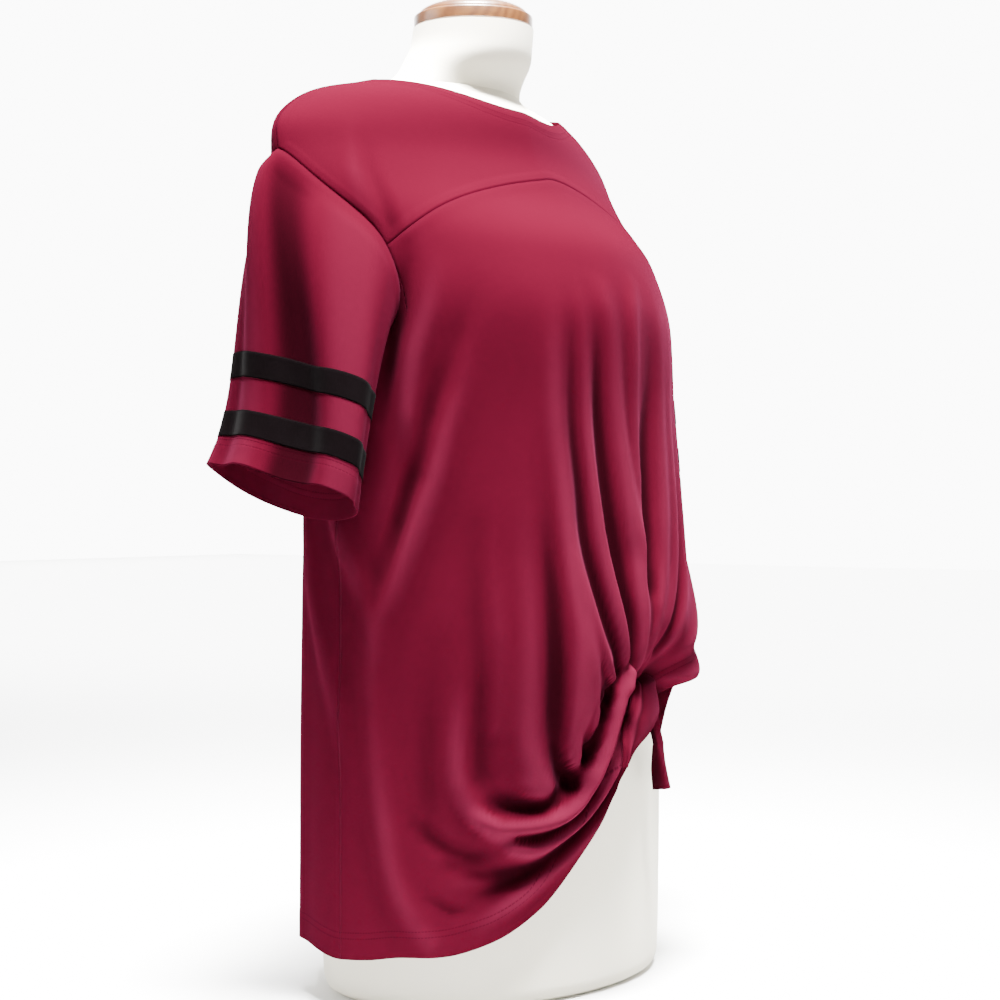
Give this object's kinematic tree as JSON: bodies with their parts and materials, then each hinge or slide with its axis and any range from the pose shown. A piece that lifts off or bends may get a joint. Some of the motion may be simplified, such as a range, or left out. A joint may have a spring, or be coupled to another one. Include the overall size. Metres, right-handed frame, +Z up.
{
  "type": "knot front top on a dress form",
  "caption": "Short-sleeved jersey top with a front yoke, a gathered knot at the hem and banded sleeves, worn by a limbless dress form.",
  "frame": {"origin": "middle of the dress form's flat underside", "axes": "+Z up the form, -Y the way the top faces, +X the wearer's left"},
  "size_m": [0.584, 0.3274, 0.8913],
  "materials": {
    "jersey": "smooth wine jersey with a soft sheen",
    "satin_band": "black satin",
    "form_cover": "cream knit cover drawn smooth",
    "cap_wood": "honey varnish"
  },
  "bodies": {
    "root": {"form_torso": "form_cover", "form_neck_cap": "cap_wood", "front_body": "jersey", "front_yoke": "jersey", "back_panel": "jersey", "sleeve_right": "jersey", "sleeve_left": "jersey", "band_right_lower": "satin_band", "band_right_upper": "satin_band", "band_left_lower": "satin_band", "band_left_upper": "satin_band", "knot_wrap": "jersey", "tie_end": "jersey"}
  },
  "joints": []
}
